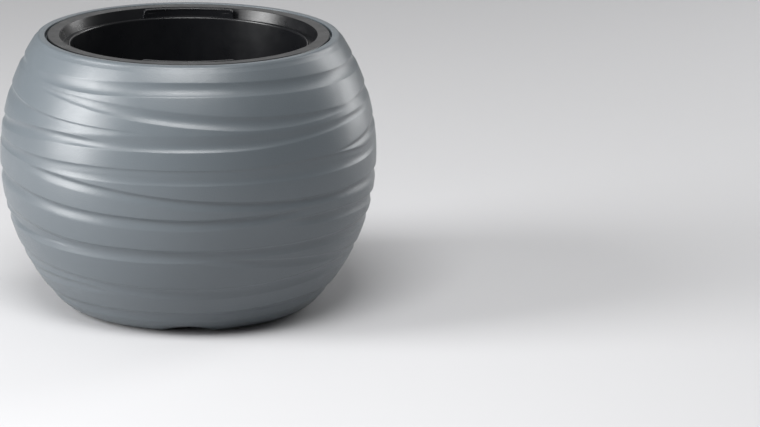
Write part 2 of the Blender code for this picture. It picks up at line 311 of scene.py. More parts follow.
def carve(obj: Piece, tools: list[Piece]) -> None:
    """Cut the tools out of an object for good and delete them.

    Args:
        obj: the object that is cut.
        tools: closed solids.
    """
    for tool in tools:
        modifier = obj.modifiers.new(tool.name, "BOOLEAN")
        modifier.operation = "DIFFERENCE"
        modifier.solver = "EXACT"
        modifier.object = tool
    evaluated = obj.evaluated_get(bpy.context.evaluated_depsgraph_get())
    mesh = bpy.data.meshes.new_from_object(evaluated)
    obj.modifiers.clear()
    obj.data = mesh
    for tool in tools:
        bpy.data.objects.remove(tool, do_unlink=True)


# --- Finishes ---


class NodeGraph:
    """A material under construction, with a Principled shader and its output."""

    def __init__(self, name: str) -> None:
        """Start a material.

        Args:
            name: the material's name.
        """
        self.material = bpy.data.materials.new(name)
        self.material.use_nodes = True
        self.tree = self.material.node_tree
        self.tree.nodes.clear()
        self.shader = self.add("ShaderNodeBsdfPrincipled")
        self.join(self.shader, "BSDF", self.add("ShaderNodeOutputMaterial"), "Surface")
        self.place = self.add("ShaderNodeTexCoord")

    def add(self, kind: str, **settings: object) -> Node:
        """Add a node.

        Args:
            kind: the node's type name.
            settings: properties of the node, or inputs by their names with _ for a space.

        Returns:
            The node.
        """
        node = self.tree.nodes.new(kind)
        for key, value in settings.items():
            if hasattr(node, key):
                setattr(node, key, value)
            else:
                node.inputs[key.replace("_", " ")].default_value = value
        return node

    def fix(self, **values: float) -> None:
        """Set sockets of the shader that are the same all over the piece."""
        for key, value in values.items():
            self.shader.inputs[key.replace("_", " ")].default_value = value

    def join(self, start: Node, output: int | str, end: Node, into: int | str) -> None:
        """Link one node's output to another's input, each given by its name or its number."""
        self.tree.links.new(start.outputs[output], end.inputs[into])

    def noise(self, scale: float, detail: float = 2.0, roughness: float = 0.5) -> Node:
        """A noise pattern fixed to the object.

        Args:
            scale: cells per metre.
            detail: octaves of finer noise.
            roughness: strength of the finer octaves.

        Returns:
            The noise node.
        """
        node = self.add("ShaderNodeTexNoise", Scale=scale, Detail=detail, Roughness=roughness)
        self.join(self.place, "Object", node, "Vector")
        return node

    def spread(self, source: Node, output: str, low: float, high: float, span: Pair = (0.3, 0.7)) -> Node:
        """Map a pattern on to another range.

        Args:
            source: the pattern's node.
            output: the output of it that counts.
            low: the new range's start.
            high: the new range's end.
            span: the range that the pattern itself goes over.

        Returns:
            The mapping node.
        """
        node = self.add("ShaderNodeMapRange", From_Min=span[0], From_Max=span[1], To_Min=low, To_Max=high)
        self.join(source, output, node, "Value")
        return node

    def two_tone(self, pattern: Node, colour: Colour, dark: float, light: float) -> Node:
        """Blend two tints of a colour by a noise pattern.

        Args:
            pattern: the noise node.
            colour: the colour.
            dark: share of the colour where the noise is low.
            light: share of the colour where the noise is high.

        Returns:
            The mixing node.
        """
        node = self.add("ShaderNodeMix", data_type="RGBA")
        node.inputs[6].default_value = (*(dark * share for share in colour), 1.0)
        node.inputs[7].default_value = (*(light * share for share in colour), 1.0)
        self.join(pattern, "Fac", node, 0)
        return node

    def relief(self, first: Node, output: str, second: Node, strength: float, distance: float) -> None:
        """Bump the shader by the sum of two height patterns.

        Args:
            first: one pattern.
            output: the output of it that counts.
            second: a noise pattern.
            strength: share of the bump that shows.
            distance: its height in metres.
        """
        height = self.add("ShaderNodeMath", operation="ADD")
        self.join(first, output, height, 0)
        self.join(second, "Fac", height, 1)
        node = self.add("ShaderNodeBump", Strength=strength, Distance=distance)
        self.join(height, "Value", node, "Height")
        self.join(node, "Normal", self.shader, "Normal")


@dataclass(frozen=True)
class MouldedPlastic:
    """Injection-moulded plastic: a faint drift of tone under a fine moulded grain."""

    name: str
    colour: Colour
    drift: float
    roughness: Pair
    grain_per_metre: float
    grain_strength: float
    grain_depth: float = 0.00025
    specular: float = 0.5

    def material(self) -> Material:
        """Make the plastic.

        The grain is the distance to the nearest of many scattered points, softened by a
        finer noise.

        Returns:
            The material.
        """
        graph = NodeGraph(self.name)
        cloud = graph.noise(7.0, detail=3.0)
        tone = graph.two_tone(cloud, self.colour, 1 - self.drift, 1 + self.drift)
        graph.join(tone, 2, graph.shader, "Base Color")
        sheen_patches = graph.noise(60.0, detail=4.0, roughness=0.6)
        gloss = graph.spread(sheen_patches, "Fac", *self.roughness)
        graph.join(gloss, "Result", graph.shader, "Roughness")
        pebbles = graph.add("ShaderNodeTexVoronoi", feature="SMOOTH_F1", Scale=self.grain_per_metre)
        graph.join(graph.place, "Object", pebbles, "Vector")
        dust = graph.noise(self.grain_per_metre * 1.7, detail=3.0, roughness=0.65)
        graph.relief(pebbles, "Distance", dust, self.grain_strength, self.grain_depth)
        graph.fix(Specular_IOR_Level=self.specular)
        graph.material.diffuse_color = (*self.colour, 1.0)
        return graph.material


@dataclass(frozen=True)
class Felt:
    """Needled felt: pale fibres with a soft sheen, stained towards the tip."""

    name: str
    colour: Colour
    stain: Colour
    stain_from: Pair = (0.08, 0.01)

    def material(self) -> Material:
        """Make the felt.

        Fibres are a noise stretched along the strip, bumped together with a coarser mottle
        that also varies the tone. The stain grows from the head at the top towards the wet tip.

        Returns:
            The material.
        """
        graph = NodeGraph(self.name)
        along = graph.add("ShaderNodeMapping")
        along.inputs["Scale"].default_value = (900.0, 900.0, 160.0)
        graph.join(graph.place, "Object", along, "Vector")
        fibres = graph.add("ShaderNodeTexNoise", Scale=1.0, Detail=5.0, Roughness=0.7)
        graph.join(along, "Vector", fibres, "Vector")
        mottled = graph.noise(140.0, detail=4.0, roughness=0.6)
        tone = graph.two_tone(mottled, self.colour, 0.86, 1.0)
        split = graph.add("ShaderNodeSeparateXYZ")
        graph.join(graph.place, "Object", split, "Vector")
        wet = graph.spread(split, "Z", 0.0, 0.6, self.stain_from)
        stained = graph.add("ShaderNodeMix", data_type="RGBA")
        stained.inputs[7].default_value = (*self.stain, 1.0)
        graph.join(tone, 2, stained, 6)
        graph.join(wet, "Result", stained, 0)
        graph.join(stained, 2, graph.shader, "Base Color")
        graph.relief(fibres, "Fac", mottled, 0.7, 0.0006)
        graph.fix(Roughness=0.95, Sheen_Weight=0.4, Sheen_Roughness=0.6)
        return graph.material


@dataclass(frozen=True)
class StudioFloor:
    """Matt pale studio floor."""

    name: str
    colour: Colour

    def material(self) -> Material:
        """Make the floor's paint, barely uneven in tone.

        Returns:
            The material.
        """
        graph = NodeGraph(self.name)
        cloud = graph.noise(1.5, detail=2.0)
        tone = graph.two_tone(cloud, self.colour, 0.99, 1.0)
        graph.join(tone, 2, graph.shader, "Base Color")
        graph.fix(Roughness=0.6, Specular_IOR_Level=0.2)
        return graph.material


SLATE = MouldedPlastic("slate_plastic", (0.102, 0.118, 0.1305), 0.03, (0.31, 0.38), 750.0, 0.30, 0.00030)
BLACK = MouldedPlastic(
    "black_plastic", (0.0045, 0.0048, 0.0058), 0.08, (0.26, 0.34), 1100.0, 0.08, specular=0.42
)
HANDLE_BLACK = MouldedPlastic(
    "handle_plastic", (0.0055, 0.0058, 0.007), 0.08, (0.24, 0.32), 1500.0, 0.06, specular=0.45
)
FELT = Felt("wick_felt", (0.62, 0.60, 0.55), (0.34, 0.31, 0.25))
FLOOR = StudioFloor("studio_floor", (0.55, 0.55, 0.56))


def dress(obj: Piece, material: Material) -> None:
    """Give an object one material all over."""
    obj.data.materials.clear()
    obj.data.materials.append(material)


# --- Wave relief ---


@dataclass(frozen=True)
class Groove:
    """One scooped groove that runs round the bowl between an upper and a lower edge.

    Its knots are (angle in degrees, upper edge in mm, lower edge in mm). Angles start at
    the front and grow to the right. The pattern repeats after half a turn, so a groove that
    is longer than that passes under its own beginning.
    """

    knots: tuple[Triple, ...]
    fullness: float
    steep_top: float = 0.6
    soft_bottom: float = 1.0
    fade_in_deg: float = 16.0
    fade_out_deg: float = 16.0

    def depth(self, angles: np.ndarray, heights: np.ndarray) -> np.ndarray:
        """How deep the groove is cut.

        Across the groove t runs from 0 at the upper edge to 1 at the lower one. The section
        is t**a * (1 - t)**b, scaled so that its deepest point is fullness times the groove's
        width. It fades to nothing at both ends.

        Args:
            angles: angles round the bowl in degrees.
            heights: heights in mm, the same shape.

        Returns:
            Depths in mm, the same shape.
        """
        knots_at, upper_knots, lower_knots = (np.array(column) for column in zip(*self.knots))
        start, end = knots_at[0], knots_at[-1]
        a, b = self.steep_top, self.soft_bottom
        peak = (a / (a + b)) ** a * (b / (a + b)) ** b
        total = np.zeros_like(heights)
        for half_turns in range(-2, 4):
            here = angles + 180.0 * half_turns
            fade = smooth_step((here - start) / self.fade_in_deg)
            fade = fade * smooth_step((end - here) / self.fade_out_deg)
            upper = smooth_curve(here, knots_at, upper_knots)
            lower = smooth_curve(here, knots_at, lower_knots)
            width = upper - lower
            t = np.clip((upper - heights) / width, 0.0, 1.0)
            total += fade * self.fullness * width * t**a * (1 - t) ** b / peak
        return total


WAVES: tuple[Groove, ...] = (
    Groove(
        ((-68, 263.5, 257), (-40, 267, 254.5), (0, 270.5, 257.5), (20, 269.5, 256.5), (50, 267, 254),
         (80, 265.5, 253.5), (112, 264, 256.5)),
        0.13, 0.95, 1.0,
    ),
    Groove(
        ((-66, 252.5, 249.5), (-50, 252, 246), (-30, 249.5, 238.5), (0, 242, 229), (20, 237, 224),
         (40, 234, 224), (66, 231.5, 228)),
        0.135, 0.95, 1.0,
    ),
    Groove(
        ((60, 231, 225.5), (68, 233, 224.5), (80, 235.5, 222.5), (95, 235, 219.5), (110, 232, 216.5),
         (125, 228, 215.5), (145, 225, 216), (168, 223, 217.5)),
        0.09, 0.5, 1.6,
    ),
    Groove(
        ((-48, 215.5, 202), (-20, 219.5, 204.5), (0, 221.5, 205), (20, 221.5, 205.5), (40, 221, 209.5),
         (60, 222.5, 214.5), (80, 224.5, 217.5)),
        0.11, 1.7, 1.0,
    ),
    Groove(
        ((44, 189.5, 186.5), (55, 191.5, 187.5), (63, 194, 187.5), (72, 197.5, 189), (80, 201.5, 191),
         (95, 205.5, 194), (105, 207.5, 195.5), (118, 211.5, 198.5), (138, 214, 203), (156, 211, 204.5)),
        0.15, 0.8, 1.3,
    ),
    Groove(
        ((-95, 188, 175), (-75, 185.5, 175.5), (-52, 185, 174), (-30, 186.5, 172), (0, 187.5, 172),
         (20, 187, 171.5), (40, 189, 170.5), (55, 187.5, 170.5), (66, 185, 171), (85, 188, 175)),
        0.085, 1.6, 1.0, 10.0, 10.0,
    ),
    Groove(
        ((-95, 188, 181), (-75, 185.5, 178), (-52, 185, 177), (-30, 186.5, 179), (0, 187.5, 180),
         (20, 187, 179.5), (40, 189, 181), (55, 187.5, 180), (66, 185, 178), (85, 188, 181)),
        0.085, 0.7, 2.0, 10.0, 10.0,
    ),
    Groove(
        ((-62, 174, 167), (-50, 173, 162.5), (-30, 167.5, 156.5), (0, 157.5, 146.5), (20, 153, 142),
         (40, 150, 140), (60, 150, 138.5), (90, 152, 135.5), (105, 151.5, 135), (120, 146.5, 132.5),
         (140, 141, 127), (160, 138, 124.5), (180, 136.5, 124), (200, 138, 126), (228, 140.5, 131.5)),
        0.155, 0.8, 1.9, 18.0, 24.0,
    ),
    Groove(
        ((22, 129.5, 124), (40, 130.5, 120), (55, 130.5, 117.5), (70, 128, 116.5), (85, 125, 112),
         (100, 118.5, 102), (120, 111.5, 91), (140, 105, 89), (160, 103.5, 88.5), (180, 103, 89.5),
         (200, 103.5, 92), (225, 103.5, 92), (257, 105.5, 91), (275, 105, 94), (300, 103.5, 95),
         (332, 98, 93)),
        0.15, 0.85, 1.2, 20.0, 30.0,
    ),
    Groove(
        ((-4, 95, 91), (10, 94, 86), (30, 88, 77.5), (50, 81.5, 72), (70, 75.5, 68.5), (90, 72.5, 60.5),
         (108, 70, 56), (130, 65, 55), (148, 61.5, 52.5), (162, 60, 48), (180, 59, 46), (200, 60, 47),
         (220, 64, 50.5), (240, 68, 54.5), (262, 71.5, 56.5)),
        0.14, 0.8, 1.0, 18.0, 16.0,
    ),
    Groove(
        ((-84, 55, 42.5), (-60, 55.5, 43.5), (-45, 55, 45.5), (-22, 52.5, 46)),
        0.14, 0.8, 1.0, 16.0, 20.0,
    ),
    Groove(
        ((-95, 30, 18.5), (-75, 28, 16.5), (-50, 28, 16), (0, 28.5, 16.5), (20, 28.5, 16.5), (40, 31.5, 18.5),
         (60, 32.5, 21), (85, 30, 18.5)),
        0.12, 0.8, 1.0, 10.0, 10.0,
    ),
)


# --- Bowl ---


@dataclass
class CoverBowl:
    """The slate bowl: a thin-walled ellipse of revolution with waves cut into its side."""

    radius: float
    height: float
    belly_height: float = 0.160
    belly_rise: float = 0.209
    wall: float = 0.003
    lip_inner: float = 0.148
    lip_edge: float = 0.0007
    lip_crown: float = 0.1535
    lip_bend: float = 0.0024
    lip_outer: Pair = (0.1574, 0.2815)
    side_top: float = 0.279
    seat_inner: float = 0.141
    seat_height: float = 0.2788
    seat_thickness: float = 0.003
    side_low: float = 0.012
    base_bend: Pair = (0.1298, 0.0035)
    foot_outer: float = 0.1156
    foot_inner: float = 0.1056
    foot_recess: float = 0.003
    floor_top: float = 0.007
    arch_width: float = 0.049
    arch_height: float = 0.0045
    arch_blend: float = 0.012
    columns: int = 168
    side_rows: int = 480

    def side_radius(self, height: float) -> float:
        """Radius of the smooth side at a height, on its ellipse."""
        return self.radius * math.sqrt(1 - ((height - self.belly_height) / self.belly_rise) ** 2)

    def side_turn(self, height: float) -> float:
        """Angle on the side's ellipse at a height."""
        return math.asin((height - self.belly_height) / self.belly_rise)

    def side_points(self, turns: np.ndarray) -> np.ndarray:
        """Points of the smooth side at angles on its ellipse."""
        return points(self.radius * np.cos(turns), self.belly_height + self.belly_rise * np.sin(turns))

    def inside_path(self) -> np.ndarray:
        """Profile from the axis over the inside floor, up the wall and round the seat to the lip.

        Returns:
            Array of (radius, height) points.
        """
        low, high = self.floor_top + 0.006, self.seat_height - self.seat_thickness
        floor_edge = self.side_radius(self.floor_top) - 2 * self.wall
        floor = rounded_path([(0.0, self.floor_top, 0.0), (0.06, self.floor_top, 0.0)])
        turns = np.linspace(self.side_turn(low), self.side_turn(high - 0.004), 20)
        inner = self.side_points(turns) - np.array([self.wall, 0.0])
        seat = rounded_path(
            [
                (inner[-1, 0], inner[-1, 1], 0.0),
                (self.side_radius(high) - self.wall, high, 0.0015),
                (self.seat_inner, high, 0.0005),
                (self.seat_inner, self.seat_height, 0.0005),
                (self.lip_inner, self.seat_height, 0.0005),
                (self.lip_inner, self.height, self.lip_edge),
                (self.lip_crown, self.height, 0.0),
            ],
            steps=3,
        )
        corner = np.array([[floor_edge - 0.004, self.floor_top], [floor_edge, self.floor_top + 0.002]])
        return np.concatenate([floor, corner, inner, seat[1:-1]])

    def lip_path(self) -> np.ndarray:
        """The lip: flat over its crown, then a parabola down to the top of the side.

        Returns:
            Array of (radius, height) points.
        """
        start = (self.lip_crown, self.height)
        bend = (self.lip_crown + self.lip_bend, self.height)
        fall = parabola(start, bend, self.lip_outer, np.linspace(0.0, 1.0, 7))
        return np.concatenate([[[self.lip_inner + 2.2 * self.lip_edge, self.height]], fall])

    def base_path(self) -> np.ndarray:
        """The rounded base: a parabola from the low end of the side to the foot ring."""
        start = (self.side_radius(self.side_low), self.side_low)
        return parabola(start, self.base_bend, (self.foot_outer, 0.0), np.linspace(0.0, 1.0, 13)[1:])

    def foot_path(self) -> np.ndarray:
        """Profile under the bowl, from the foot ring's outer edge to the axis.

        Returns:
            Array of (radius, height) points.
        """
        return rounded_path(
            [
                (self.foot_outer - 0.0012, 0.0, 0.0),
                (self.foot_inner, 0.0, 0.0006),
                (self.foot_inner, self.foot_recess, 0.0006),
                (0.05, self.foot_recess, 0.0),
                (0.0, self.foot_recess, 0.0),
            ],
            steps=3,
        )

    def arch(self, angles: np.ndarray) -> np.ndarray:
        """Height of the foot's four shallow arches.

        Each is a parabola over the arch's width, centred on the front, the sides and the back.

        Args:
            angles: angles round the bowl in degrees.

        Returns:
            Heights in metres.
        """
        from_middle = (angles + 45.0) % 90.0 - 45.0
        along = self.foot_outer * np.sin(np.radians(from_middle)) / (self.arch_width / 2)
        return self.arch_height * np.clip(1 - along**2, 0.0, 1.0)

    def surface(self) -> Surface:
        """The whole bowl as one closed turned surface with the waves cut into its side.

        The side's point at ellipse angle u is (R cos u, c + B sin u), moved inwards along the
        ellipse's normal (cos u / R, sin u / B) by the waves' depth.

        Returns:
            The surface.
        """
        inside, lip = self.inside_path(), self.lip_path()
        turns = np.linspace(self.side_turn(self.side_top), self.side_turn(self.side_low), self.side_rows)
        path = np.concatenate([inside, lip, self.side_points(turns), self.base_path(), self.foot_path()])
        angles = np.linspace(0.0, 360.0, self.columns, endpoint=False) + 90.0
        radii, heights = path[:, :1] + 0.0 * angles, path[:, 1:] + 0.0 * angles
        first = len(inside) + len(lip)
        rows = slice(first, first + self.side_rows)
        normals = points(np.cos(turns) / self.radius, np.sin(turns) / self.belly_rise)
        normals /= np.linalg.norm(normals, axis=-1, keepdims=True)
        around = np.broadcast_to(angles[None, :], heights[rows].shape)
        depth = sum(groove.depth(around, heights[rows] / MM) for groove in WAVES) * MM
        radii[rows] -= depth * normals[:, :1]
        heights[rows] -= depth * normals[:, 1:]

        outside = np.arange(len(path))[:, None] >= first
        standing = outside * (radii > self.foot_inner - 0.0005)
        heights += self.arch(angles)[None, :] * np.clip(1 - heights / self.arch_blend, 0.0, 1.0) * standing
        return turned_surface("bowl_shell", radii, heights)

    def build(self) -> list[Piece]:
        """Make the bowl, which stands for its plain model.

        Returns:
            The pieces.
        """
        shell = self.surface().to_object(55.0)
        dress(shell, SLATE.material())
        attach(shell, "bowl")
        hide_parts("outer_bowl")
        return [shell]


# --- Planting insert ---


@dataclass
class PlantingInsert:
    """The black lift-out pot: flange, ledge, bead, tapering wall and lower cup."""

    top: float
    bottom: float
    flange_outer: float
    wall: float = 0.0022
    flange_inner: float = 0.1331
    flange_dish: float = 0.0003
    skirt: float = 0.0057
    ledge_depth: float = 0.011
    ledge_outer: float = 0.1302
    bead_radius: float = 0.1230
    bead_half_width: float = 0.0014
    bead_height: float = 0.0018
    wall_top: float = 0.1238
    wall_low: float = 0.1123
    shoulder_round: float = 0.009
    cup_top: float = 0.102
    cup_low: float = 0.097
    cup_height: float = 0.037
    rib_count: int = 6
    rib_thickness: float = 0.002
    leg_turns_deg: tuple[float, ...] = (-18.8, 18.8, 161.2, 198.8)
    leg_slot: Pair = (0.0103, 0.0042)
    leg_radius: float = 0.1277
    wick_turns_deg: tuple[float, ...] = (0.0, 90.0, 180.0, 270.0)
    wick_slot: Pair = (0.0212, 0.0036)
    wick_radius: float = 0.075
    drain_ring: float = 0.045
    drain_radius: float = 0.003
    drain_count: int = 8
    columns: int = 240
    crease_deg: float = 50.0

    @property
    def ledge(self) -> float:
        """Height of the ledge."""
        return self.top - self.ledge_depth

    @property
    def under_ledge(self) -> float:
        """Height of the ledge's underside."""
        return self.ledge - self.wall

    def path(self) -> np.ndarray:
        """Profile from the axis over the inside floor, over the flange and down outside.

        Returns:
            Array of (radius, height) points.
        """
        wall, floor = self.wall, self.bottom + self.wall
        cup_z = self.bottom + self.cup_height
        inside = rounded_path(
            [
                (0.0, floor, 0.0),
                (0.03, floor, 0.0),
                (self.cup_low - wall, floor, 0.003),
                (self.cup_top - wall, cup_z + wall, 0.0012),
                (self.wall_low - wall, cup_z + wall, self.shoulder_round - wall),
                (self.wall_top - wall, self.ledge - 0.002, 0.0),
            ]
        )
        swing = np.linspace(np.pi, 0.0, 13)
        bead = points(self.bead_half_width * np.cos(swing), self.bead_height * np.sin(swing))
        bead = bead + np.array([self.bead_radius, self.ledge])
        skirt_low = self.top - self.skirt
        dish = self.top - self.flange_dish
        outside = rounded_path(
            [
                (self.bead_radius + self.bead_half_width + 0.0003, self.ledge, 0.0),
                (self.ledge_outer, self.ledge, 0.0005),
                (self.flange_inner, dish, 0.0005),
                (self.flange_outer, self.top, 0.0011),
                (self.flange_outer, skirt_low, 0.0005),
                (self.flange_outer - wall, skirt_low, 0.0005),
                (self.flange_outer - wall, self.top - wall, 0.0006),
                (self.flange_inner + wall, dish - wall, 0.0012),
                (self.ledge_outer + wall, self.under_ledge, 0.0012),
                (self.wall_top, self.under_ledge, 0.0012),
                (self.wall_low, cup_z, self.shoulder_round),
                (self.cup_top, cup_z, 0.0008),
                (self.cup_low, self.bottom, 0.004),
                (0.03, self.bottom, 0.0),
                (0.0, self.bottom, 0.0),
            ]
        )
        return np.concatenate([inside, bead, outside])

    def tools(self) -> list[Piece]:
        """Make the solids that cut the leg slots, the wick slots and the drain holes.

        Returns:
            The closed solids.
        """
        floor = self.bottom + self.wall / 2
        leg = rectangle(*self.leg_slot) + np.array([0.0, self.leg_radius, self.ledge - self.wall / 2])
        wick = rectangle(*self.wick_slot) + np.array([0.0, self.wick_radius, floor])
        drain = circle(self.drain_radius) + np.array([0.0, self.drain_ring, floor])
        drain_turns = 360.0 * (np.arange(self.drain_count) + 0.5) / self.drain_count
        depth = np.array([0.0, 0.0, 3 * self.wall])
        solids = []
        for name, outline, turns in (
            ("leg_slot", leg, self.leg_turns_deg),
            ("wick_slot", wick, self.wick_turns_deg),
            ("drain", drain, drain_turns),
        ):
            for number, turn in enumerate(turns):
                solids.append(slab_surface(f"{name}_{number}", outline, depth).turned(turn).to_object())
        return solids

    def ribs(self) -> list[Piece]:
        """Make the upright ribs under the ledge: a wide root above a narrow round-ended strip.

        Returns:
            The ribs.
        """
        outline = rounded_path(
            [
                (0.1226, 0.0006, 0.0),
                (0.1312, 0.0006, 0.0),
                (0.1312, -0.0050, 0.0008),
                (0.1272, -0.0090, 0.0012),
                (0.1270, -0.0210, 0.0016),
                (0.1212, -0.0210, 0.0),
            ],
            steps=4,
        )
        pieces = []
        for number in range(self.rib_count):
            turn = 360.0 * (number + 0.5) / self.rib_count
            flat = points(0.0, outline[:, 0], self.under_ledge + outline[:, 1])
            rib = slab_surface(f"ledge_rib_{number + 1}", flat, np.array([self.rib_thickness, 0.0, 0.0]))
            obj = rib.turned(turn).to_object(STRIP_CREASE_DEG)
            soften(obj, 0.0003)
            pieces.append(obj)
        return pieces

    def build(self) -> list[Piece]:
        """Make the insert and its ribs.

        Returns:
            The pieces.
        """
        path = self.path()
        ring = np.zeros(self.columns)
        radii, heights = path[:, :1] + ring, path[:, 1:] + ring
        pot = turned_surface("insert_pot", radii, heights).to_object(self.crease_deg)
        carve(pot, self.tools())
        pot.data.set_sharp_from_angle(angle=math.radians(self.crease_deg))
        pieces = [pot, *self.ribs()]
        plastic = BLACK.material()
        for piece in pieces:
            dress(piece, plastic)
            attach(piece, "insert")
        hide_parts("planting_insert")
        return pieces


# --- Handles ---


@dataclass
class CarryingHandle:
    """A pull-up handle: a grip bent to the ledge's radius, on two flat legs with barbs."""

    side: Side
    node: str
    body: str
    grip_low: float
    barb_tip: float
    radius: float = 0.1277
    thickness: float = 0.0042
    grip_height: float = 0.0102
    top_half_chord: float = 0.0470
    low_half_chord: float = 0.0488
    end_round: float = 0.0030
    face_round: float = 0.0008
    panel_border: float = 0.0014
    panel_depth: float = 0.0005
    panel_ramp: float = 0.00025
    leg_angle_deg: float = 18.8
    leg_width: float = 0.0097
    leg_thickness: float = 0.0036
    barb_width: float = 0.017
    barb_height: float = 0.010
    barb_point: float = 0.003

    def grip(self) -> Surface:
        """The grip as a closed tube of rounded sections.

        A section's point has a side a from -1 (towards the axis) to 1, and a height h above
        the grip's underside. Station s from -1 to 1 turns it by s times the angle of the half
        chord at that height. Near the ends the section draws in along a quarter circle. The
        panels are pressed evenly into both faces, with steep borders.

        Returns:
            The surface, turned to its side of the insert.
        """
        tall, thick, edge = self.grip_height, self.thickness / 2, self.face_round
        border, ramp = self.panel_border, self.panel_ramp
        inner = [edge, border, border + ramp, tall / 2, tall - border - ramp, tall - border, tall - edge]
        corner = np.linspace(0.0, np.pi / 2, 4)[1:-1]
        right_side = [(1.0, h) for h in inner]
        top_right = [(1 - edge / thick * (1 - math.cos(c)), tall - edge * (1 - math.sin(c))) for c in corner]
        top = [(1 - edge / thick, tall), (0.0, tall), (-1 + edge / thick, tall)]
        top_left = [(-a, h) for a, h in reversed(top_right)]
        left_side = [(-1.0, h) for h in reversed(inner)]
        low = [(-1 + edge / thick, 0.0), (0.0, 0.0), (1 - edge / thick, 0.0)]
        section = np.array(right_side + top_right + top + top_left + left_side + low)
        across, up = section[None, :, 0], section[None, :, 1]

        arc_half = self.low_half_chord
        shoulder = arc_half - self.end_round * (1 - np.cos(np.linspace(0.0, np.pi / 2, 6)))
        panel_end = arc_half - self.end_round - border
        middle = np.linspace(0.0, panel_end - ramp, 22)
        half = np.concatenate([middle, [panel_end], np.sort(shoulder)])
        half = np.unique(np.round(half, 7))
        along = np.concatenate([-half[:0:-1], half])[:, None]

        from_end = arc_half - np.abs(along)
        drop = quarter_circle(from_end, self.end_round)
        pinch = quarter_circle(from_end, edge)
        height = up - drop * smooth_step(up / tall * 1.3 - 0.3)
        pressed = smooth_step((panel_end - np.abs(along)) / ramp)
        pressed = pressed * smooth_step((up - border) / ramp) * smooth_step((tall - border - up) / ramp)
        on_face = np.abs(across) > 0.999
        offset = across * (thick - pinch) - np.sign(across) * on_face * pressed * self.panel_depth

        half_chord = self.low_half_chord + (self.top_half_chord - self.low_half_chord) * height / tall
        angle = along / arc_half * np.arcsin(half_chord / self.radius)
        reach = self.radius + offset
        corners = points(reach * np.sin(angle), reach * np.cos(angle), self.grip_low + height)
        stations, sides = corners.shape[:2]
        quads = quads_of_grid(stations, sides, wrap=True)[:, ::-1]
        flat = corners.reshape(-1, 3)
        caps = np.stack([corners[0].mean(axis=0), corners[-1].mean(axis=0)])
        start = fan(len(flat), 0, sides)
        end = fan(len(flat) + 1, (stations - 1) * sides, sides)[:, ::-1]
        faces = face_list(quads, start, end)
        return Surface(f"{self.body}_grip", np.concatenate([flat, caps]), faces).turned(self.side.value)

    def leg(self, name: str, sign: float) -> Surface:
        """One leg, a flat strip that ends in an arrow-shaped barb pointing down.

        Args:
            name: the leg's name.
            sign: -1 for the left leg, 1 for the right one.

        Returns:
            The closed surface, turned to its side of the insert.
        """
        barb_top = self.barb_tip + self.barb_height
        wide, narrow, tip = self.barb_width / 2, self.leg_width / 2, self.barb_point / 2
        half = [
            (narrow, self.grip_low + 0.6 * self.grip_height, 0.0),
            (narrow, barb_top, 0.0008),
            (wide, barb_top, 0.0005),
            (wide - 0.0003, barb_top - 0.0018, 0.0006),
            (tip, self.barb_tip, 0.0008),
        ]
        mirrored = [(-x, z, rounding) for x, z, rounding in reversed(half)]
        outline = rounded_path(half + mirrored, steps=3)
        flat = points(outline[:, 0], self.radius, outline[:, 1])
        slab = slab_surface(name, flat, np.array([0.0, self.leg_thickness, 0.0]))
        return slab.turned(self.side.value + sign * self.leg_angle_deg)

    def build(self) -> list[Piece]:
        """Make the grip and the legs.

        Returns:
            The pieces.
        """
        grip = self.grip().to_object(40.0)
        legs = []
        for name, sign in (("left", -1.0), ("right", 1.0)):
            leg = self.leg(f"{self.body}_leg_{name}", sign).to_object(STRIP_CREASE_DEG)
            soften(leg, 0.0004)
            legs.append(leg)
        plastic = HANDLE_BLACK.material()
        for piece in [grip, *legs]:
            dress(piece, plastic)
            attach(piece, self.body)
        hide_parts(self.node)
        return [grip, *legs]


# --- Wicks ---


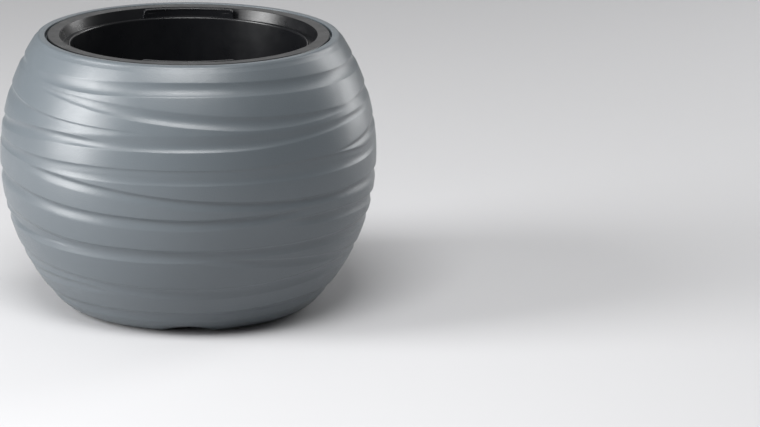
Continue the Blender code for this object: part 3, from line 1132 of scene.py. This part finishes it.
@dataclass
class FeltWick:
    """A strip of felt with a wider head, hung through a slot in the insert's floor."""

    number: int
    low: float
    high: float
    shoulder: float
    radius: float = 0.075
    head_width: float = 0.030
    tail_width: float = 0.020
    thickness: float = 0.0022
    sway: float = 0.0013
    sway_waves: float = 1.15
    head_lean: float = 0.0012
    cupping: float = 0.0006
    rows: int = 72

    @property
    def flat_area(self) -> float:
        """Area of the strip as it was cut."""
        return (self.high - self.shoulder) * self.head_width + (self.shoulder - self.low) * self.tail_width

    def surface(self) -> Surface:
        """The felt's middle surface.

        A point at x across and z up lies on the wick's plane, pushed off it by a slow sine
        along the strip, a slight cup across it and a lean of the head.

        Returns:
            The open surface, turned to the wick's slot.
        """
        tail = self.tail_width / 2
        across = np.concatenate([[-self.head_width / 2], np.linspace(-tail, tail, 9), [self.head_width / 2]])
        below = round(self.rows * (self.shoulder - self.low) / (self.high - self.low))
        strip = np.linspace(self.low, self.shoulder, below)
        top = np.linspace(self.shoulder, self.high, self.rows - below + 1)[1:]
        up = np.concatenate([strip, top])[:, None]
        hang = np.clip((self.shoulder - up) / (self.shoulder - self.low), 0.0, 1.0)
        wave = np.sin(hang * self.sway_waves * 2 * np.pi + self.number) * self.sway * smooth_step(hang * 4)
        head = np.clip((up - self.shoulder) / (self.high - self.shoulder), 0.0, 1.0)
        lean = self.head_lean * head**2 * np.cos(2.0 * self.number)
        cup = self.cupping * (across[None, :] / tail) ** 2 * smooth_step(hang * 3)
        off = self.radius + wave + lean + cup
        corners = points(across[None, :], off, up)
        quads = quads_of_grid(self.rows, len(across), wrap=False)
        row = quads[:, 0] // len(across)
        column = quads[:, 0] % len(across)
        kept = (row >= below - 1) | ((column > 0) & (column < len(across) - 2))
        quads = quads[kept]
        used, renumbered = np.unique(quads, return_inverse=True)
        flat, faces = corners.reshape(-1, 3)[used], face_list(renumbered.reshape(-1, 4))
        return Surface(f"felt_wick_{self.number}", flat, faces).turned(90.0 * self.number)

    def build(self, felt: Material) -> list[Piece]:
        """Make the wick.

        Args:
            felt: the material that all wicks share.

        Returns:
            The pieces.
        """
        strip = self.surface().to_object()
        body = strip.modifiers.new("felt_thickness", "SOLIDIFY")
        body.thickness = self.thickness
        body.offset = 0.0
        dress(strip, felt)
        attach(strip, "insert")
        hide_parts(f"wick_{self.number}")
        return [strip]


# --- Studio ---


@dataclass(frozen=True)
class Softbox:
    """A rectangular lamp that looks at the planter.

    The azimuth is 0 on the camera's side and grows to the right.
    """

    name: str
    azimuth_deg: float
    elevation_deg: float
    distance: float
    width: float
    height: float
    power: float
    aim_height: float = 0.15

    def hang(self) -> None:
        """Hang the lamp."""
        data = bpy.data.lights.new(self.name, "AREA")
        data.shape = "RECTANGLE"
        data.size = self.width
        data.size_y = self.height
        data.energy = self.power
        lamp = bpy.data.objects.new(self.name, data)
        azimuth, elevation = math.radians(self.azimuth_deg), math.radians(self.elevation_deg)
        flat = self.distance * math.cos(elevation)
        lamp.location = (
            flat * math.sin(azimuth),
            -flat * math.cos(azimuth),
            self.aim_height + self.distance * math.sin(elevation),
        )
        lamp.rotation_euler = (math.pi / 2 - elevation, 0.0, azimuth)
        bpy.context.scene.collection.objects.link(lamp)


@dataclass
class Studio:
    """Camera, lamps, backdrop light and floor."""

    aim_height: float = 0.142
    distance: float = 4.4
    elevation_deg: float = 14.24
    lens_mm: float = 200.7
    shift_x: float = 0.2522
    shift_y: float = -0.0602
    floor_radius: float = 9.0
    floor_sides: int = 64
    world_strength: float = 0.11
    softboxes: tuple[Softbox, ...] = (
        Softbox("left_strip", -73.0, 14.0, 2.6, 1.10, 2.9, 158.0),
        Softbox("front_top", -6.0, 58.0, 2.2, 1.3, 0.8, 44.0),
        Softbox("overhead", 0.0, 88.0, 2.4, 2.6, 2.2, 9.0),
        Softbox("right_rim", 124.0, 14.0, 2.6, 0.90, 2.4, 38.0),
        Softbox("rear_sheen", 168.0, 20.0, 2.6, 1.9, 0.8, 2.7),
    )

    def camera(self) -> None:
        """Set up the camera on the viewing line."""
        data = bpy.data.cameras.new("camera")
        data.lens = self.lens_mm
        data.sensor_width = 36.0
        data.shift_x = self.shift_x
        data.shift_y = self.shift_y
        data.clip_end = 50.0
        obj = bpy.data.objects.new("camera", data)
        elevation = math.radians(self.elevation_deg)
        obj.location = (
            0.0,
            -self.distance * math.cos(elevation),
            self.aim_height + self.distance * math.sin(elevation),
        )
        obj.rotation_euler = (math.pi / 2 - elevation, 0.0, 0.0)
        bpy.context.scene.collection.objects.link(obj)
        bpy.context.scene.camera = obj

    def backdrop(self) -> None:
        """Even pale light from all round."""
        world = bpy.data.worlds.new("backdrop")
        world.use_nodes = True
        background = world.node_tree.nodes["Background"]
        background.inputs["Color"].default_value = (1.0, 1.0, 1.0, 1.0)
        background.inputs["Strength"].default_value = self.world_strength
        bpy.context.scene.world = world

    def floor(self) -> None:
        """A round pale floor: rings of corners out to its radius, all at height 0."""
        rings = np.array([0.0, 0.3, 1.0, 3.0, self.floor_radius])
        angles = np.linspace(0.0, 2 * np.pi, self.floor_sides, endpoint=False)
        radii, turns = np.meshgrid(rings[1:], angles, indexing="ij")
        ring = points(radii * np.cos(turns), radii * np.sin(turns), 0.0)
        quads = quads_of_grid(len(rings) - 1, self.floor_sides, wrap=True)
        corners = np.concatenate([ring.reshape(-1, 3), [[0.0, 0.0, 0.0]]])
        middle = fan(len(corners) - 1, 0, self.floor_sides)
        obj = Surface("studio_floor", corners, face_list(quads, middle)).to_object()
        dress(obj, FLOOR.material())

    def build(self) -> None:
        """Set up everything and choose a plain view transform."""
        self.camera()
        self.backdrop()
        self.floor()
        for softbox in self.softboxes:
            softbox.hang()
        bpy.context.scene.view_settings.view_transform = "Standard"
        bpy.context.scene.view_settings.look = "None"


# --- Assembly ---


def report(group: str, pieces: list[Piece]) -> None:
    """Log each piece of a group with its number of faces."""
    for piece in pieces:
        LOG.info("%s: %s, %d faces", group, piece.name, len(piece.data.polygons))


def main() -> None:
    """Build the studio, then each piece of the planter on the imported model."""
    logging.basicConfig(level=logging.INFO, format="%(name)s: %(message)s")
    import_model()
    Studio().build()

    _, bowl_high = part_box("outer_bowl")
    bowl = CoverBowl(radius=bowl_high[0], height=bowl_high[2])
    report("bowl", bowl.build())

    insert_low, insert_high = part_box("planting_insert")
    insert = PlantingInsert(top=insert_high[2], bottom=insert_low[2], flange_outer=insert_high[0])
    report("insert", insert.build())

    for side, node, body in (
        (Side.REAR, "handle_rear", "rear_handle"),
        (Side.FRONT, "handle_front", "front_handle"),
    ):
        low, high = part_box(node)
        grip_low = high[2] - CarryingHandle.grip_height
        handle = CarryingHandle(side, node, body, grip_low=grip_low, barb_tip=low[2])
        report("handle", handle.build())

    felt = FELT.material()
    for number in range(1, 5):
        low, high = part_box(f"wick_{number}")
        wick = FeltWick(number, low=low[2], high=high[2], shoulder=insert.bottom + insert.wall + 0.0003)
        report("wick", wick.build(felt))


if __name__ == "__main__":
    main()
